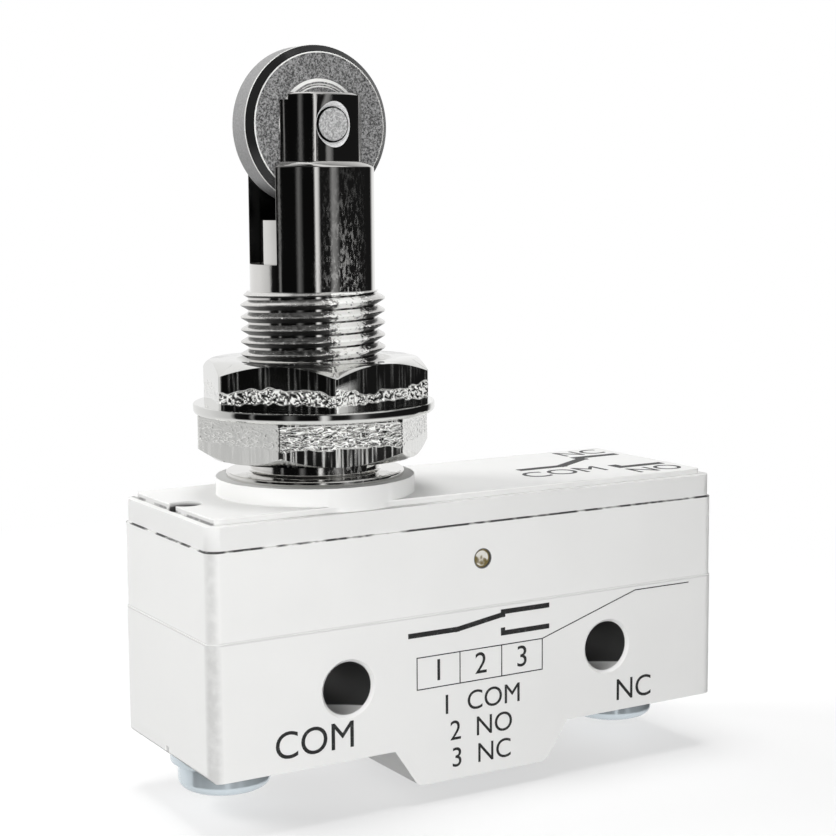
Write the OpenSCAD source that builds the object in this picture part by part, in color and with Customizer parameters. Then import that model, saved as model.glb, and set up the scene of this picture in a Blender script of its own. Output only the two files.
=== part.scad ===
// Roller plunger micro switch: a moulded snap-action switch body with a threaded panel bushing,
// a spring-loaded fork plunger and a cross roller. Millimetres. X runs along the body,
// Y through its thickness (front at -Y), Z up along the plunger.
// The origin lies midway between the two mounting hole axes, at half the thickness.

/* [Case] */
// Length of the case
case_l = 49.2; // [46:0.1:54]
// Thickness of the case, front to back
case_t = 17.4; // [16:0.1:20]
// Height of the case mouth above the mounting hole axis
mouth_z = 12.1; // [11.5:0.1:14]
// Depth of the case bottom below the mounting hole axis
case_drop = 5.85; // [5.2:0.05:7]
// Radius of the vertical corners
corner_r = 1.1; // [0.6:0.1:1.6]
// Thickness of the front and back walls
wall = 1.8; // [1.4:0.1:2.2]
// Height of the moulded step line above the mounting hole axis
step_z = 5; // [4:0.1:8]
// How far the upper walls stand back at the step line
step_in = 0.08; // [0.04:0.02:0.2]
// Bevel along the lower edge of both ends
end_soft = 0.45; // [0.2:0.05:0.6]
// Width of the small notch in the lower edge of both ends
notch_w = 0.6; // [0.4:0.1:1.2]
// Height of the small notch
notch_h = 0.85; // [0.6:0.05:1.2]

/* [Hump] */
// Depth of the hump under the middle terminal, below the mounting hole axis
hump_drop = 9.1; // [8.4:0.1:10.5]
// Width of the flat underside of the hump
hump_w = 12.6; // [11.6:0.1:15]
// Sideways run of each slanted flank of the hump
hump_run = 2.2; // [1.2:0.1:3]
// Rounding of the lower corners of the hump
hump_soft = 0.9; // [0.4:0.05:1.2]

/* [Mounting holes] */
// Distance between the two cross holes
hole_pitch = 25.4; // [23:0.1:28]
// Diameter of the cross holes
hole_d = 4.3; // [3.6:0.1:4.8]
// Size of the bevel at each hole mouth
hole_soft = 0.25; // [0.1:0.05:0.4]

/* [Cover] */
// How far the cover edge stands back from the case on every side
cover_in = 0.2; // [0.05:0.05:0.4]
// Height of the cover edge above the parting line
cover_h = 1.95; // [1.6:0.05:2.6]
// Height of the raised plateau above the cover edge
plateau_h = 0.48; // [0.2:0.02:0.8]
// How far the plateau stands back from the cover edge
plateau_in = 0.75; // [0.4:0.05:1.2]
// Depth of the locating rim that enters the case mouth
rim_h = 0.8; // [0.4:0.05:0.95]
// Thickness of the locating rim
rim_t = 0.9; // [0.6:0.05:1.2]
// Diameter of the round boss that carries the bushing
boss_d = 16.4; // [15:0.1:17]
// Height of the boss above the plateau
boss_h = 1.45; // [1:0.05:2]
// Depth of the socket in the boss that holds the bushing
socket_h = 2.6; // [2:0.1:3]
// Diameter of the blind hole near the end of the plateau
blind_d = 2.6; // [1.8:0.1:3]
// Depth of the blind hole
blind_h = 1.2; // [0.6:0.1:1.6]
// Distance of the blind hole from the end of the case
blind_off = 2.1; // [1.8:0.1:2.6]

/* [Bushing] */
// Distance of the plunger axis from the middle of the case
axis_off = 10.9; // [10:0.1:12]
// Diameter of the flange that rests on the boss
flange_d = 14.7; // [13.4:0.1:15.6]
// Thickness of the flange
flange_h = 0.45; // [0.3:0.05:0.8]
// Plain neck between the flange and the thread
neck_h = 0.7; // [0.3:0.05:1]
// Crest diameter of the bushing thread
thread_d = 11.8; // [11:0.1:12.8]
// Pitch of the bushing thread
pitch = 1; // [0.75:0.05:1.25]
// Number of thread turns
turns = 14; // [12:1:16]
// How far the plain tube stands back from the thread root
tube_in = 0.19; // [0.05:0.01:0.3]
// Length of the plain tube
tube_h = 10.3; // [9:0.1:12]
// Wall of the plain tube
tube_wall = 0.9; // [0.8:0.05:1.1]
// Bevel on the top edge of the tube
tube_soft = 0.4; // [0.2:0.05:0.6]
// Width of the slot across the tube
slot_w = 4.9; // [4.4:0.1:5.6]
// Height of the shoulder that stops the plunger collar
shoulder_in = 0.4; // [0.25:0.05:0.5]
// Distance of that shoulder below the top of the thread
shoulder_drop = 2.2; // [1.5:0.1:3]

/* [Nuts and washer] */
// Distance across the flats of both nuts
nut_af = 17; // [15:0.5:19]
// Height of each nut
nut_h = 3.5; // [3:0.1:4]
// Gap between the boss and the lower nut
nut_gap = 1.7; // [1:0.1:2.5]
// Flat left on a nut's face beyond its flats, before the bevel starts
nut_land = 0.25; // [0.1:0.05:0.5]
// Turn of the lower nut about the plunger axis
lower_turn = -13; // [-30:1:30]
// Turn of the upper nut about the plunger axis
upper_turn = 13; // [-30:1:30]
// Overhang of the panel washer beyond the corners of the nuts
washer_over = 0.1; // [0.05:0.05:1]
// Thickness of the panel washer
washer_t = 0.9; // [0.6:0.1:1.2]
// Rolled edge of the panel washer
washer_soft = 0.18; // [0.1:0.02:0.25]

/* [Plunger] */
// Radial play of the plunger in its bore
play = 0.05; // [0.03:0.01:0.08]
// Height of the pin axis over the top of the tube
pin_rise = 2.9; // [2.4:0.1:3.4]
// Height of the ears over the pin axis
ear_rise = 2.5; // [2:0.1:3]
// Height of the step at the inner top edge of each ear
ear_step_h = 0.55; // [0.3:0.05:0.8]
// Width of the step at the inner top edge of each ear
ear_step_w = 0.65; // [0.3:0.05:0.9]
// Bevel on the top rim of the ears
ear_soft = 0.15; // [0.05:0.05:0.3]
// Depth of the bevel at the mouths of the pin holes in the ears
pin_sink = 0.4; // [0.2:0.05:0.4]
// Working travel of the plunger
travel = 4; // [3:0.1:4.5]
// Length of the collar that holds the plunger in the bushing
collar_h = 3.2; // [2.4:0.1:4]
// Gap between the roller and the floor of the fork
fork_gap = 1.1; // [0.6:0.1:1.6]
// Thickness of the plunger between the floor of the fork and the spring's roof
roof_t = 2.2; // [1.6:0.1:2.8]
// Gap left under the roller in the tube's slot when the plunger is down
slot_gap = 0.6; // [0.4:0.1:1]
// Wall of the hollow plunger foot round the spring
nest_wall = 1.25; // [1:0.05:1.4]
// Thickness of the rolled lip under the spring follower
lip_t = 0.6; // [0.4:0.05:0.9]

/* [Roller] */
// Diameter of the roller
roller_d = 12.8; // [11:0.1:14]
// Width of the roller between its side faces
roller_w = 3.5; // [3:0.1:4]
// Bevel at both rims of the roller
roller_soft = 0.55; // [0.3:0.05:0.8]
// Diameter of the raised hub
hub_d = 7.4; // [6:0.1:8.5]
// Height of the raised hub over the side face
hub_h = 0.1; // [0.05:0.01:0.2]
// Diameter of the cross pin
pin_d = 2.8; // [2.2:0.1:3.2]
// Bevel round the riveted ends of the cross pin
pin_soft = 0.22; // [0.1:0.02:0.3]

/* [Terminals] */
// Distance of the outer terminal screws from the ends of the case
term_off = 5; // [4.6:0.1:5.6]
// Thickness of the terminal straps
strap_t = 0.75; // [0.6:0.05:0.9]
// Width of the terminal straps
strap_w = 7; // [6:0.1:8]
// Gap between a terminal screw and the upright leg of its strap
leg_gap = 0.25; // [0.15:0.05:0.35]
// Distance of the upright leg of the middle strap from its screw
mid_leg_off = 3.6; // [3.2:0.1:4.2]
// Depth of the recess round the middle terminal
recess_h = 1.5; // [1:0.1:2]
// Diameter of the clamp washers
clamp_d = 8.8; // [8:0.1:9.4]
// Thickness of the clamp washers
clamp_t = 0.8; // [0.6:0.05:1.0]
// Diameter of the screw heads
head_d = 7.6; // [6.8:0.1:8.4]
// Height of the screw heads
head_h = 2.3; // [1.8:0.1:2.8]
// Rounding of the screw heads
head_soft = 0.8; // [0.5:0.05:1]
// Width of the cross recess in the screw heads
drive_w = 0.9; // [0.6:0.1:1.2]
// Length of each bar of the cross recess
drive_l = 4.6; // [3.6:0.1:5]
// Depth of the cross recess
drive_h = 1.25; // [0.8:0.05:1.5]
// Diameter of the screw threads
screw_d = 4; // [3.4:0.1:4.4]
// Length of a screw beyond its strap
screw_up = 3; // [2:0.1:3.5]
// Bevel on the end of a screw
screw_soft = 0.4; // [0.2:0.05:0.6]

/* [Mechanism] */
// Depth of the underside of the snap blade below the case mouth
blade_drop = 4.4; // [4.2:0.05:4.8]
// Thickness of the snap blade
blade_t = 0.25; // [0.2:0.05:0.35]
// Width of the snap blade
blade_w = 5.6; // [4.6:0.1:6.6]
// Length of blade and tab beyond a rivet or contact axis
blade_end = 2.2; // [1.9:0.1:2.6]
// Distance of the blade rivet from the leg of the common strap
rivet_off = 2.85; // [2.4:0.05:3.4]
// Radius of rivet and contact shanks
rivet_r = 0.9; // [0.6:0.05:1.1]
// How far the rivet heads stand out over their shanks
rivet_rim = 0.6; // [0.3:0.05:0.8]
// Height of the rivet heads
rivet_h = 0.5; // [0.3:0.05:0.6]
// Distance of the contacts from the middle
contact_x = 13.5; // [12:0.1:15]
// Diameter of the contacts
contact_d = 3.2; // [2.6:0.1:3.6]
// Height of each half of the moving contact
moving_h = 1.4; // [1.2:0.05:1.6]
// Height of the fixed contacts over their straps
fixed_h = 0.8; // [0.6:0.05:0.95]
// Height of the headed tails behind the fixed contacts
tail_h = 0.2; // [0.1:0.05:0.3]
// Opening between the moving contact and the lower fixed contact
contact_gap = 0.5; // [0.4:0.05:0.6]
// Width of the bowed tongue of the blade
tongue_w = 1.8; // [1.4:0.1:2.4]
// Gap on both sides of the tongue
tongue_gap = 0.3; // [0.2:0.05:0.4]
// Distance of the tongue's root from the contact axis
tongue_off = 4; // [3.4:0.1:4.6]
// Rise of the tongue's bow over its chord
tongue_bow = 1; // [0.8:0.05:1.2]
// Length of the opening in the blade past the anchor pin
window_off = 1.5; // [1:0.1:2.4]
// Diameter of the anchor pin
anchor_d = 1.5; // [1.2:0.1:1.7]
// Gap between the blade and the anchor pin above it
anchor_gap = 0.4; // [0.35:0.05:0.5]
// How far the ends of the anchor pin lie below the faces of the case
anchor_in = 0.25; // [0.1:0.05:0.5]
// Diameter of the push pin under the plunger
push_d = 3.6; // [3:0.1:4.2]
// How far the push pin reaches up into the boss, measured below its top
push_drop = 1; // [0.6:0.1:1.4]
// Gap between the push pin and the blade, which is its free travel
push_gap = 0.55; // [0.5:0.05:0.7]
// Bevel at the tip of the push pin
push_soft = 0.6; // [0.3:0.05:0.9]
// Radial width of the push pin's stop collar
stop_w = 0.8; // [0.5:0.05:1.1]
// Height of the push pin's stop collar
stop_h = 0.8; // [0.5:0.05:1]
// Depth of the push pin's guide under the cover
guide_h = 1.7; // [1.4:0.05:1.8]
// Wall of the push pin's guide
guide_wall = 1.6; // [1:0.1:2]
// Diameter of the rod between spring and push pin
rod_d = 3.2; // [2.6:0.1:3.6]
// Thickness of the rod's flange under the spring
rod_flange_t = 1; // [0.6:0.1:1.4]
// Height of the nub inside the spring
nub_h = 1.2; // [0.8:0.1:1.6]
// Wire diameter of the overtravel spring
wire_d = 0.6; // [0.45:0.05:0.7]
// Number of spring coils
coils = 5; // [4:1:6]

/* [Hidden] */
$fn = 64;

// clearances: overlap of joined solids, overshoot of cuts, touching fits, running fits, loose fits
lap = 0.02;
cut = 1;
close = 0.02;
run = 0.05;
loose = 0.1;
room = 0.4;

// body
axis_x = -axis_off;
edge_top = mouth_z + cover_h;
plateau_top = edge_top + plateau_h;
boss_top = plateau_top + boss_h;
cover_l = case_l - 2 * cover_in;
cover_t = case_t - 2 * cover_in;
seat_z = -case_drop;
mid_seat_z = -hump_drop + recess_h;

// terminals and contacts, worked out from the case ends and from the blade
term_x = case_l / 2 - term_off;
leg_in = term_x + screw_d / 2 + leg_gap;
leg_out = leg_in + strap_t;
inner_l = 2 * (leg_out + 2 * loose);
inner_t = case_t - 2 * wall;
rivet_x = leg_in - rivet_off;
blade_z = mouth_z - blade_drop;
blade_top = blade_z + blade_t;
nc_face = blade_top + moving_h + run;
no_face = blade_z - moving_h - contact_gap - run;
nc_tab_z = nc_face + fixed_h;
no_tab_z = no_face - fixed_h - strap_t;
com_tab_z = blade_z - run - strap_t;
floor_z = no_tab_z;
seat_in = clamp_d / 2;
anchor_z = blade_top + anchor_gap + anchor_d / 2;
screw_hole_r = screw_d / 2 + room;

// bushing
flange_top = boss_top + flange_h;
thread_foot = flange_top + neck_h;
thread_top = thread_foot + turns * pitch;
tube_top = thread_top + tube_h;
root_r = thread_d / 2 - 0.61 * pitch;
crest_half = pitch / 16;
tube_r = root_r - tube_in;
bore_r = tube_r - tube_wall;
deep_r = bore_r + shoulder_in;
shoulder_z = thread_top - shoulder_drop;

// nuts
lower_z = boss_top + nut_gap;
washer_z = lower_z + nut_h;
upper_z = washer_z + washer_t;
nut_bore_r = thread_d / 2 + run;
nut_rc = nut_af / 2 / cos(30);
nut_flat_r = nut_af / 2 + nut_land;
washer_r = nut_rc + washer_over;

// plunger and roller
pin_z = tube_top + pin_rise;
ear_top = pin_z + ear_rise;
plunger_r = bore_r - play;
fork_half = roller_w / 2 + hub_h + run;
fork_floor = pin_z - roller_d / 2 - fork_gap;
slot_floor = pin_z - roller_d / 2 - travel - slot_gap;
collar_top = shoulder_z - run;
plunger_foot = collar_top - collar_h;
nest_r = plunger_r - nest_wall;
nest_roof = fork_floor - roof_t;

// spring, follower and push pin
rod_r = rod_d / 2;
lip_r = rod_r + room;
rod_flange_z = plunger_foot + lip_t + run;
spring_z0 = rod_flange_z + rod_flange_t;
spring_z1 = nest_roof;
spring_r = nest_r - room - wire_d / 2;
nub_r = spring_r - wire_d / 2 - room;
push_top = boss_top - push_drop;
push_tip = blade_top + push_gap;
guide_z = mouth_z - guide_h;

// Plate with rounded vertical corners, standing on z = 0
module rounded_plate(l, t, r, h) {
    linear_extrude(h) {
        square([l - 2 * r, t], center = true);
        square([l, t - 2 * r], center = true);
        for (sx = [-1, 1])
            for (sy = [-1, 1])
                translate([sx * (l / 2 - r), sy * (t / 2 - r)])
                    circle(r);
    }
}

// Box given by its low and high corner
module span(low, high) {
    translate(low)
        cube(high - low);
}

// Profile in X and Z, drawn out to the width w about y = 0
module across(w) {
    translate([0, w / 2, 0])
        rotate([90, 0, 0])
            linear_extrude(w)
                children();
}

// Round bar along Y about y = 0
module cross_bar(r, w) {
    rotate([90, 0, 0])
        cylinder(r = r, h = w, center = true);
}

// Profile of radius and height, turned about the plunger axis
module turned() {
    translate([axis_x, 0, 0])
        rotate_extrude()
            children();
}

// Moulded base with cavity, cross holes, terminal seats and strap slots
module case() {
    color("gainsboro")
        difference() {
            case_block();
            span([-inner_l / 2, -inner_t / 2, floor_z], [inner_l / 2, inner_t / 2, mouth_z + cut]);
            for (side = [-1, 1]) {
                translate([side * hole_pitch / 2, 0, 0])
                    mounting_hole();
                translate([side * term_x, 0, seat_z])
                    cylinder(r = screw_hole_r, h = strap_t + screw_up + room);
                translate([side * case_l / 2, 0, seat_z])
                    rotate([0, 45, 0])
                        cube([end_soft * sqrt(2), case_t + cut, end_soft * sqrt(2)], center = true);
                translate([side * case_l / 2, 0, seat_z])
                    cube([2 * cut, notch_w, 2 * notch_h], center = true);
            }
            end_strap_slot();
            mirror([1, 0, 0])
                end_strap_slot();
            middle_strap_slot();
            translate([contact_x, 0, floor_z - 2 * tail_h])
                cylinder(r = contact_d / 2, h = 2 * tail_h + cut);
            translate([0, 0, anchor_z])
                cross_bar(anchor_d / 2 + close, case_t + cut);
        }
}

// Outside of the case: lower block, upper walls behind the step line, hump
module case_block() {
    flank = atan2(hump_drop - case_drop, hump_run);
    turn_at = [hump_w / 2 - hump_soft * tan(flank / 2), hump_soft - hump_drop];
    corner = [for (i = [0:6]) turn_at + hump_soft * [sin(flank * i / 6), -cos(flank * i / 6)]];
    translate([0, 0, seat_z])
        rounded_plate(case_l, case_t, corner_r, case_drop + step_z);
    translate([0, 0, step_z])
        rounded_plate(case_l - 2 * step_in, case_t - 2 * step_in, corner_r - step_in, mouth_z - step_z);
    across(case_t)
        for (side = [0, 1])
            mirror([side, 0])
                polygon(concat([[-lap, seat_z + lap], [-lap, -hump_drop]], corner,
                    [[hump_w / 2 + hump_run, seat_z], [hump_w / 2 + hump_run, seat_z + lap]]));
}

// Cross hole with a bevel at both mouths
module mounting_hole() {
    cross_bar(hole_d / 2, case_t + cut);
    for (face = [-1, 1])
        translate([0, face * case_t / 2, 0])
            rotate([90 * face, 0, 0])
                cylinder(r1 = hole_d / 2 + hole_soft, r2 = hole_d / 2, h = hole_soft);
}

// Room in the base for the seat and the upright leg of the strap at the +X end
module end_strap_slot() {
    half = strap_w / 2 + loose;
    span([term_x - seat_in - loose, -half, seat_z - lap], [leg_out + loose, half, seat_z + strap_t]);
    span([leg_in - loose, -half, seat_z], [leg_out + loose, half, floor_z + cut]);
}

// Recess in the hump and room for the middle strap
module middle_strap_slot() {
    half = strap_w / 2 + loose;
    far = mid_leg_off + strap_t + loose;
    translate([0, 0, mid_seat_z])
        cylinder(r = screw_hole_r, h = strap_t + screw_up + room);
    span([-seat_in - room, -inner_t / 2, -hump_drop - cut], [seat_in + room, inner_t / 2, mid_seat_z]);
    span([-seat_in - loose, -half, mid_seat_z - lap], [far, half, mid_seat_z + strap_t]);
    span([mid_leg_off - loose, -half, mid_seat_z], [far, half, floor_z + cut]);
}

// Moulded lid with plateau, boss, locating rim and the guide of the push pin
module cover() {
    rim_l = inner_l - 2 * run;
    rim_w = inner_t - 2 * run;
    color("whitesmoke")
        difference() {
            union() {
                translate([0, 0, mouth_z])
                    rounded_plate(cover_l, cover_t, corner_r, cover_h);
                translate([0, 0, edge_top - lap])
                    rounded_plate(cover_l - 2 * plateau_in, cover_t - 2 * plateau_in, corner_r / 2, plateau_h + lap);
                translate([axis_x, 0, mouth_z])
                    cylinder(r = boss_d / 2, h = boss_top - mouth_z);
                translate([axis_x, 0, guide_z])
                    cylinder(r = push_d / 2 + guide_wall, h = guide_h + lap);
                difference() {
                    span([-rim_l / 2, -rim_w / 2, mouth_z - rim_h], [rim_l / 2, rim_w / 2, mouth_z + lap]);
                    span([-rim_l / 2 + rim_t, -rim_w / 2 + rim_t, mouth_z - rim_h - cut],
                        [rim_l / 2 - rim_t, rim_w / 2 - rim_t, mouth_z]);
                }
            }
            translate([axis_x, 0, boss_top - socket_h])
                cylinder(r = root_r + close, h = socket_h + cut);
            translate([axis_x, 0, guide_z - cut])
                cylinder(r = push_d / 2 + play, h = boss_top);
            translate([blind_off - case_l / 2, 0, plateau_top - blind_h])
                cylinder(r = blind_d / 2, h = blind_h + cut);
        }
}

// One turned piece: spigot, flange, thread and the slotted guide tube
module bushing() {
    thread = [for (i = [0:turns - 1])
        let (mid = thread_foot + (i + 0.5) * pitch)
            each [[root_r, mid - pitch / 2], [thread_d / 2, mid - crest_half], [thread_d / 2, mid + crest_half]]];
    foot = [[root_r, boss_top - socket_h], [root_r, boss_top], [flange_d / 2, boss_top],
        [flange_d / 2, flange_top - loose], [flange_d / 2 - loose, flange_top], [root_r, flange_top]];
    tube = [[root_r, thread_top], [tube_r, thread_top], [tube_r, tube_top - tube_soft], [tube_r - tube_soft, tube_top]];
    inside = [[bore_r, tube_top], [bore_r, shoulder_z], [deep_r, shoulder_z], [deep_r, boss_top - socket_h]];
    color("silver")
        difference() {
            turned()
                polygon(concat(foot, thread, tube, inside));
            span([axis_x - tube_r - cut, -slot_w / 2, slot_floor], [axis_x + tube_r + cut, slot_w / 2, tube_top + cut]);
        }
}

// Hexagon nut with turned bevels on both faces
module hex_nut(z, turn) {
    drop = (nut_rc - nut_flat_r) * tan(30);
    translate([axis_x, 0, z])
        rotate([0, 0, turn])
            difference() {
                intersection() {
                    cylinder(r = nut_rc, h = nut_h, $fn = 6);
                    rotate_extrude()
                        polygon([[0, 0], [nut_flat_r, 0], [nut_rc, drop], [nut_rc, nut_h - drop],
                            [nut_flat_r, nut_h], [0, nut_h]]);
                }
                translate([0, 0, -cut])
                    cylinder(r = nut_bore_r, h = nut_h + 2 * cut);
            }
}

module lower_nut() {
    color("silver")
        hex_nut(lower_z, lower_turn);
}

module upper_nut() {
    color("silver")
        hex_nut(upper_z, upper_turn);
}

// Flat washer with rolled edges
module panel_washer() {
    hole_r = nut_bore_r + loose;
    color("silver")
        translate([0, 0, washer_z])
            turned()
                polygon([[hole_r, 0], [washer_r - washer_soft, 0], [washer_r, washer_soft],
                    [washer_r, washer_t - washer_soft], [washer_r - washer_soft, washer_t], [hole_r, washer_t]]);
}

// Turned fork: hollow collared foot, shank and two ears with bevelled pin holes
module plunger() {
    reach = plunger_r + cut;
    step_half = fork_half + ear_step_w;
    color("lightgray")
        difference() {
            turned()
                polygon([[lip_r, plunger_foot], [deep_r - play, plunger_foot], [deep_r - play, collar_top],
                    [plunger_r, collar_top], [plunger_r, ear_top - ear_soft], [plunger_r - ear_soft, ear_top],
                    [0, ear_top], [0, nest_roof], [nest_r, nest_roof], [nest_r, plunger_foot + lip_t],
                    [lip_r, plunger_foot + lip_t]]);
            translate([axis_x, 0, 0]) {
                span([-reach, -fork_half, fork_floor], [reach, fork_half, ear_top + cut]);
                span([-reach, -step_half, ear_top - ear_step_h], [reach, step_half, ear_top + cut]);
                translate([0, 0, pin_z]) {
                    cross_bar(pin_d / 2, 2 * reach);
                    for (face = [-1, 1])
                        translate([0, face * plunger_r, 0])
                            rotate([90 * face, 0, 0])
                                cylinder(r1 = pin_d / 2 + pin_sink, r2 = pin_d / 2, h = pin_sink);
                }
            }
        }
}

// Sintered wheel with bevelled rims, raised hub and a running bore
module roller() {
    half = roller_w / 2;
    side = [[pin_d / 2 + run, half + hub_h], [hub_d / 2 - hub_h, half + hub_h], [hub_d / 2, half],
        [roller_d / 2 - roller_soft, half], [roller_d / 2, half - roller_soft]];
    far = [for (i = [len(side) - 1:-1:0]) [side[i][0], -side[i][1]]];
    color("darkgray")
        translate([axis_x, 0, pin_z])
            rotate([90, 0, 0])
                rotate_extrude()
                    polygon(concat(side, far));
}

// Cross pin with bevelled ends that stay inside the round of the ears
module roller_pin() {
    half = sqrt(pow(plunger_r, 2) - pow(pin_d / 2 - pin_soft, 2)) - run;
    color("gainsboro")
        translate([axis_x, 0, pin_z])
            rotate([90, 0, 0])
                rotate_extrude()
                    polygon([[0, -half], [pin_d / 2 - pin_soft, -half], [pin_d / 2, -half + pin_soft],
                        [pin_d / 2, half - pin_soft], [pin_d / 2 - pin_soft, half], [0, half]]);
}

// Coil spring, drawn as turns of round wire joined by a thin sleeve at their middle
module overtravel_spring() {
    rise = (spring_z1 - spring_z0 - wire_d) / coils;
    sleeve_t = wire_d / 3;
    color("slategray")
        translate([0, 0, spring_z0 + wire_d / 2])
            turned() {
                for (i = [0:coils])
                    translate([spring_r, i * rise])
                        circle(wire_d / 2);
                translate([spring_r - sleeve_t / 2, 0])
                    square([sleeve_t, coils * rise]);
            }
}

// Turned rod between the spring and the push pin
module spring_follower() {
    flange_r = nest_r - 3 * run;
    color("goldenrod")
        turned()
            polygon([[0, push_top], [rod_r, push_top], [rod_r, rod_flange_z], [flange_r, rod_flange_z],
                [flange_r, spring_z0], [nub_r, spring_z0], [nub_r, spring_z0 + nub_h], [0, spring_z0 + nub_h]]);
}

// Moulded button with a stop collar under its guide
module push_pin() {
    stop_z = guide_z - run;
    stop_r = push_d / 2 + stop_w;
    color("darkred")
        turned()
            polygon([[0, push_tip], [push_d / 2 - push_soft, push_tip], [push_d / 2, push_tip + push_soft],
                [push_d / 2, stop_z - stop_h], [stop_r, stop_z - stop_h], [stop_r, stop_z],
                [push_d / 2, stop_z], [push_d / 2, push_top], [0, push_top]]);
}

// Punched blade with a bowed tongue that bears against the anchor pin
module snap_blade() {
    window = tongue_w / 2 + tongue_gap;
    root_x = contact_x - tongue_off;
    color("peru")
        difference() {
            union() {
                difference() {
                    span([-rivet_x - blade_end, -blade_w / 2, blade_z], [contact_x + blade_end, blade_w / 2, blade_top]);
                    span([-window_off, -window, blade_z - cut], [root_x, window, blade_top + cut]);
                }
                across(tongue_w)
                    tongue([root_x + loose, blade_z + blade_t / 2], [anchor_d / 2 + anchor_gap, anchor_z]);
            }
            for (x = [-rivet_x, contact_x])
                translate([x, 0, blade_z - cut])
                    cylinder(r = rivet_r, h = blade_t + 2 * cut);
        }
}

// Bowed strip from foot to tip: a ring sector over their chord
module tongue(foot, tip) {
    chord = norm(tip - foot);
    along = (tip - foot) / chord;
    arc_r = chord * chord / 8 / tongue_bow + tongue_bow / 2;
    centre = (tip + foot) / 2 - [along[1], -along[0]] * (arc_r - tongue_bow);
    intersection() {
        translate(centre)
            difference() {
                circle(arc_r + blade_t / 2);
                circle(arc_r - blade_t / 2);
            }
        polygon([centre, 2 * foot - centre, foot + tip - centre, 2 * tip - centre]);
    }
}

// Round rivet or contact standing on z, made of stacked discs [radius, height]
module stacked(x, z, discs, i = 0) {
    translate([x, 0, z])
        cylinder(r = discs[i][0], h = discs[i][1]);
    if (i + 1 < len(discs))
        stacked(x, z + discs[i][1], discs, i + 1);
}

module blade_rivet() {
    head_r = rivet_r + rivet_rim;
    color("gold")
        stacked(-rivet_x, com_tab_z - run - rivet_h,
            [[head_r, rivet_h], [rivet_r, blade_top - com_tab_z + run], [head_r, rivet_h]]);
}

module moving_contact() {
    color("gainsboro")
        stacked(contact_x, blade_z - moving_h, [[contact_d / 2, moving_h], [rivet_r, blade_t], [contact_d / 2, moving_h]]);
}

module no_contact() {
    color("gainsboro")
        stacked(contact_x, no_tab_z - tail_h, [[rivet_r + tail_h, tail_h], [rivet_r, strap_t], [contact_d / 2, fixed_h]]);
}

module nc_contact() {
    color("gainsboro")
        stacked(contact_x, nc_face, [[contact_d / 2, fixed_h], [rivet_r, strap_t], [rivet_r + tail_h, tail_h]]);
}

// Strap at the +X end: screw seat, upright leg and a tab at the height z that turns in past a rivet hole
module end_strap(z, rivet_at, hole_r) {
    half = strap_w / 2;
    difference() {
        union() {
            span([term_x - seat_in, -half, seat_z], [leg_out, half, seat_z + strap_t]);
            span([leg_in, -half, seat_z], [leg_out, half, z + strap_t]);
            span([rivet_at - blade_end, -half, z], [leg_out, half, z + strap_t]);
        }
        translate([term_x, 0, seat_z - cut])
            cylinder(r = screw_d / 2 + close, h = strap_t + 2 * cut);
        translate([rivet_at, 0, z - cut])
            cylinder(r = hole_r, h = strap_t + 2 * cut);
    }
}

module com_terminal() {
    color("khaki")
        mirror([1, 0, 0])
            end_strap(com_tab_z, rivet_x, rivet_r + loose);
}

module nc_terminal() {
    color("khaki")
        end_strap(nc_tab_z, contact_x, rivet_r);
}

// Middle strap: seat in the hump, leg through the base, tab along the cavity floor
module no_terminal() {
    half = strap_w / 2;
    leg_far = mid_leg_off + strap_t;
    color("khaki")
        difference() {
            union() {
                span([-seat_in, -half, mid_seat_z], [leg_far, half, mid_seat_z + strap_t]);
                span([mid_leg_off, -half, mid_seat_z], [leg_far, half, no_tab_z + strap_t]);
                span([mid_leg_off, -half, no_tab_z], [contact_x + blade_end, half, no_tab_z + strap_t]);
            }
            translate([0, 0, mid_seat_z - cut])
                cylinder(r = screw_d / 2 + close, h = strap_t + 2 * cut);
            translate([contact_x, 0, no_tab_z - cut])
                cylinder(r = rivet_r, h = strap_t + 2 * cut);
        }
}

// Pan head screw hanging under the seat at x, z, with a cross recess
module pan_screw(x, z) {
    tip = head_h + clamp_t + strap_t + screw_up;
    head_r = head_d / 2;
    translate([x, 0, z - clamp_t - head_h])
        difference() {
            rotate_extrude() {
                polygon([[0, 0], [head_r - head_soft, 0], [head_r - head_soft, head_soft], [head_r, head_soft],
                    [head_r, head_h], [screw_d / 2, head_h], [screw_d / 2, tip - screw_soft],
                    [screw_d / 2 - screw_soft, tip], [0, tip]]);
                translate([head_r - head_soft, head_soft])
                    circle(head_soft);
            }
            for (turn = [0, 90])
                rotate([0, 0, turn])
                    cube([drive_l, drive_w, 2 * drive_h], center = true);
        }
}

// Clamp washer under the seat at x, z
module clamp_washer(x, z) {
    translate([x, 0, z - clamp_t])
        difference() {
            cylinder(r = clamp_d / 2, h = clamp_t);
            translate([0, 0, -cut])
                cylinder(r = screw_d / 2 + close, h = clamp_t + 2 * cut);
        }
}

module terminal_screws() {
    color("lightsteelblue") {
        pan_screw(-term_x, seat_z);
        pan_screw(0, mid_seat_z);
        pan_screw(term_x, seat_z);
    }
}

module screw_washers() {
    color("white") {
        clamp_washer(-term_x, seat_z);
        clamp_washer(0, mid_seat_z);
        clamp_washer(term_x, seat_z);
    }
}

// Brass pin across the case that the tongue of the blade bears on
module anchor_pin() {
    color("gold")
        translate([0, 0, anchor_z])
            cross_bar(anchor_d / 2, case_t - 2 * anchor_in);
}

case();
cover();
bushing();
lower_nut();
upper_nut();
panel_washer();
plunger();
roller();
roller_pin();
overtravel_spring();
spring_follower();
push_pin();
snap_blade();
blade_rivet();
moving_contact();
no_contact();
nc_contact();
com_terminal();
no_terminal();
nc_terminal();
terminal_screws();
screw_washers();
anchor_pin();
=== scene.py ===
import math

import bpy
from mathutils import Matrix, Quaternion, Vector, noise


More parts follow.
